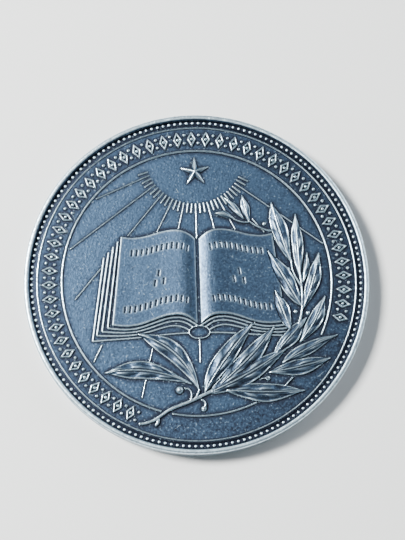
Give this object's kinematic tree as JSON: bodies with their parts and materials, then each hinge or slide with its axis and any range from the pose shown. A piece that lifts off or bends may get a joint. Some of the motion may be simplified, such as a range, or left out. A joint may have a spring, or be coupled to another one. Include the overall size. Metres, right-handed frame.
{
  "type": "medal",
  "caption": "Round struck table medal: raised rim, beaded edge, ornament band, star with rays over an open book, laurel branch; plain wreath behind.",
  "frame": {"origin": "centre of the plane that the reverse rim rests on", "axes": "+Z out of the front face, +Y towards the star at the top of the design, +X to the right of the design"},
  "size_m": [0.04, 0.04, 0.003],
  "materials": {
    "medal_blank": "antiqued nickel silver, fine matte field with dark patina in the recesses",
    "front_relief": "antiqued nickel silver, worn bright on the high points",
    "reverse_relief": "antiqued nickel silver, satin"
  },
  "bodies": {
    "root": {"bead_ring": "front_relief", "book_page_left": "front_relief", "book_page_right": "front_relief", "inner_line_circle": "front_relief", "laurel_berries": "front_relief", "laurel_leaf_01": "front_relief", "laurel_leaf_02": "front_relief", "laurel_leaf_03": "front_relief", "laurel_leaf_04": "front_relief", "laurel_leaf_05": "front_relief", "laurel_leaf_06": "front_relief", "laurel_leaf_07": "front_relief", "laurel_leaf_08": "front_relief", "laurel_leaf_09": "front_relief", "laurel_leaf_10": "front_relief", "laurel_leaf_11": "front_relief", "laurel_leaf_12": "front_relief", "laurel_leaf_13": "front_relief", "laurel_leaf_14": "front_relief", "laurel_leaf_15": "front_relief", "laurel_leaf_16": "front_relief", "laurel_leaf_17": "front_relief", "laurel_leaf_18": "front_relief", "laurel_leaf_19": "front_relief", "laurel_stem": "front_relief", "leaf_edges_left": "front_relief", "leaf_edges_right": "front_relief", "medal_disc": "medal_blank", "ornament_band": "front_relief", "outer_line_circle": "front_relief", "reverse_bead_ring": "reverse_relief", "reverse_line_circle": "reverse_relief", "reverse_wreath": "reverse_relief", "spine_oval": "front_relief", "star": "front_relief", "sun_beams": "front_relief", "sun_rays": "front_relief"}
  },
  "joints": []
}
